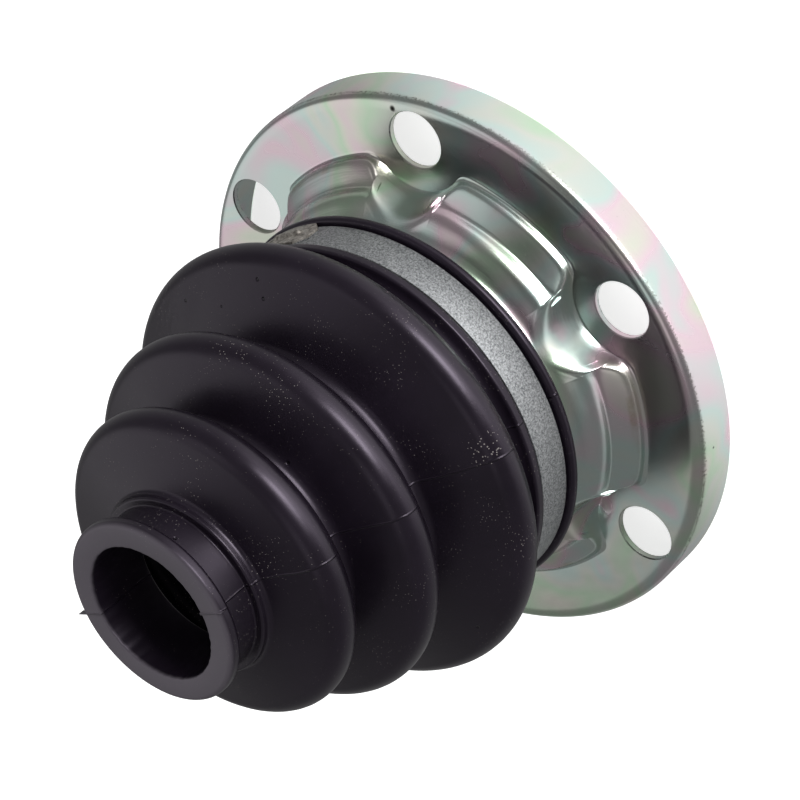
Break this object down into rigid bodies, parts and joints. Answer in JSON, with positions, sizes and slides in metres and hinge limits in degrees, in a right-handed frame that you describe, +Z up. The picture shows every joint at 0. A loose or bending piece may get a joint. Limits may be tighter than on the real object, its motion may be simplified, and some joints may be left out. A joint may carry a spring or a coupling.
{
  "type": "bellows boot",
  "caption": "Rubber bellows boot clamped by a steel band onto the neck of a pressed steel flange cap with bolt holes, for sealing a drive shaft joint.",
  "frame": {"origin": "centre of the cap's open rim, on the common axis, in the plane on which the rim stands", "axes": "+Z up the common axis from the cap's rim towards the boot's small end, +X through the centre of one bolt hole"},
  "size_m": [0.1, 0.1, 0.084],
  "materials": {
    "boot_rubber": "satin black moulded rubber",
    "band_steel": "matt zinc flake coating, fine speckle",
    "cap_steel": "bright zinc plate with a faint iridescent passivation"
  },
  "bodies": {
    "root": {"bellows_boot": "boot_rubber", "clamp_band": "band_steel", "flange_cap": "cap_steel"}
  },
  "joints": []
}
